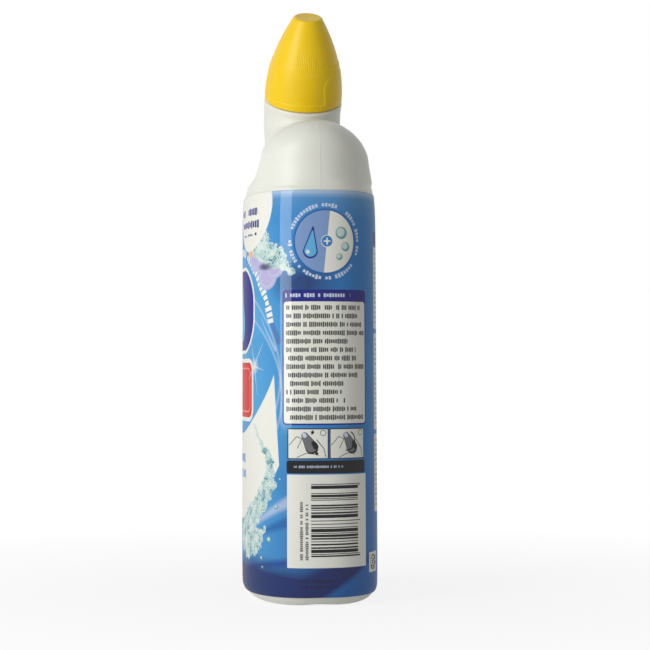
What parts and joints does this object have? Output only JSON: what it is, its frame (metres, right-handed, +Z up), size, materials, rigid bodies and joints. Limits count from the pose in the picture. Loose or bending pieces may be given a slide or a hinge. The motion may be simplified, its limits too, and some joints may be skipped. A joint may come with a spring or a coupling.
{
  "type": "toilet cleaner bottle",
  "caption": "Flat oval squeeze bottle with a crooked neck, a printed shrink sleeve and a tapered squeeze-and-turn cap over a pouring nozzle.",
  "frame": {"origin": "centre of the foot, on the surface that the bottle stands on", "axes": "+Z up; +X across the wide side, towards the neck's riser, with the crook opening towards -X; -Y is the front label's side"},
  "size_m": [0.087, 0.0606, 0.2682],
  "materials": {
    "bottle_white": "satin white blow-moulded polyethylene",
    "sleeve_film": "glossy shrink film printed in blues, teal, white and a little red",
    "gel": "clear blue gel",
    "nozzle_white": "natural moulded polyethylene",
    "liner_foam": "soft white foam",
    "cap_yellow": "yellow moulded polypropylene with a soft sheen"
  },
  "bodies": {
    "filled_bottle": {"bottle": "bottle_white", "shrink_sleeve": "sleeve_film", "cleaning_gel": "gel", "nozzle_insert": "nozzle_white"},
    "liner": {"cap_liner": "liner_foam"},
    "cap": {"cap": "cap_yellow"}
  },
  "joints": [
    {"name": "cap_lift", "type": "slide", "parent": "filled_bottle", "child": "liner", "axis": [0.4848, 0, 0.8746], "range_m": [0, 0.045]},
    {"name": "cap_turn", "type": "hinge", "parent": "liner", "child": "cap", "pos_m": [-0.019, 0, 0.23004], "axis": [0.4848, 0, 0.8746], "range_deg": [0, 450]}
  ]
}
